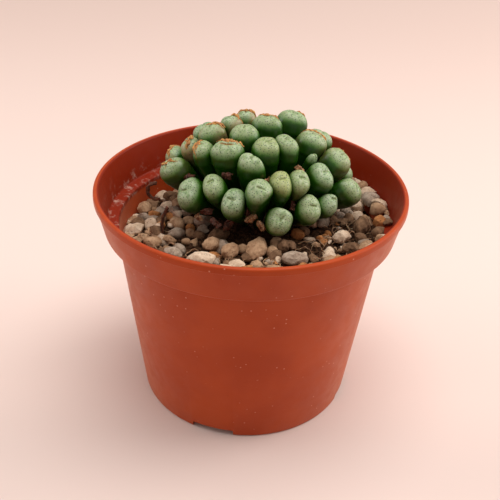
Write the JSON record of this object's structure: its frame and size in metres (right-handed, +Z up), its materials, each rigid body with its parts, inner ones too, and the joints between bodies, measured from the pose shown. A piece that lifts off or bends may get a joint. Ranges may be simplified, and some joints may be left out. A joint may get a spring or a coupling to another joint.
{
  "type": "potted conophytum",
  "caption": "Clump of small two-lobed succulent heads growing through loose gravel in a round tapered plastic nursery pot.",
  "frame": {"origin": "centre of the pot's foot, on the surface that it stands on", "axes": "+Z up along the pot's axis, -Y towards the side with most of the gravel in view, +X to that side's right"},
  "size_m": [0.085, 0.085, 0.0782],
  "materials": {
    "pot_plastic": "thin moulded terracotta-coloured plastic, satin, with scuffs and lime marks",
    "succulent_skin": "waxy grey-green faces with dark dots, deep green sides",
    "woody_crown": "rough dark bark",
    "potting_mix": "dark crumbly peat",
    "stone_tan": "rough matt",
    "stone_pale": "rough matt",
    "stone_grey": "rough matt",
    "stone_brown": "rough matt",
    "dry_flower": "dry papery brown"
  },
  "bodies": {
    "root": {"dry_flower_stalk": "dry_flower", "head_back_high_1": "succulent_skin", "head_back_high_2": "succulent_skin", "head_back_high_3": "succulent_skin", "head_back_high_4": "succulent_skin", "head_back_low_1": "succulent_skin", "head_back_low_2": "succulent_skin", "head_back_low_3": "succulent_skin", "head_back_low_4": "succulent_skin", "head_back_low_5": "succulent_skin", "head_bud": "succulent_skin", "head_centre": "succulent_skin", "head_crest": "succulent_skin", "head_crest_back_left": "succulent_skin", "head_crest_back_right": "succulent_skin", "head_crest_front": "succulent_skin", "head_crest_withered": "succulent_skin", "head_front_centre": "succulent_skin", "head_front_left": "succulent_skin", "head_front_left_low": "succulent_skin", "head_front_low": "succulent_skin", "head_front_right": "succulent_skin", "head_front_right_low": "succulent_skin", "head_left": "succulent_skin", "head_left_back": "succulent_skin", "head_left_low": "succulent_skin", "head_left_low_back": "succulent_skin", "head_left_shoulder": "succulent_skin", "head_middle": "succulent_skin", "head_middle_right": "succulent_skin", "head_right_low": "succulent_skin", "head_right_middle": "succulent_skin", "head_right_shoulder": "succulent_skin", "head_right_upper": "succulent_skin", "head_upper_centre": "succulent_skin", "head_upper_left": "succulent_skin", "head_upper_left_back": "succulent_skin", "head_upper_right": "succulent_skin", "pot": "pot_plastic", "potting_mix": "potting_mix", "root_crown": "woody_crown", "stone_back_right": "stone_pale", "stone_brown_shaded": "stone_brown", "stone_brown_small": "stone_brown", "stone_dark_right": "stone_brown", "stone_grey_front": "stone_grey", "stone_left_back": "stone_brown", "stone_left_front": "stone_tan", "stone_left_grey": "stone_grey", "stone_left_pale": "stone_pale", "stone_left_tan": "stone_tan", "stone_long_right": "stone_brown", "stone_pale_front": "stone_pale", "stone_pale_right": "stone_pale", "stone_tan_large": "stone_tan", "stone_tan_left": "stone_tan", "stone_tan_round": "stone_tan", "withered_flower": "dry_flower"}
  },
  "joints": []
}
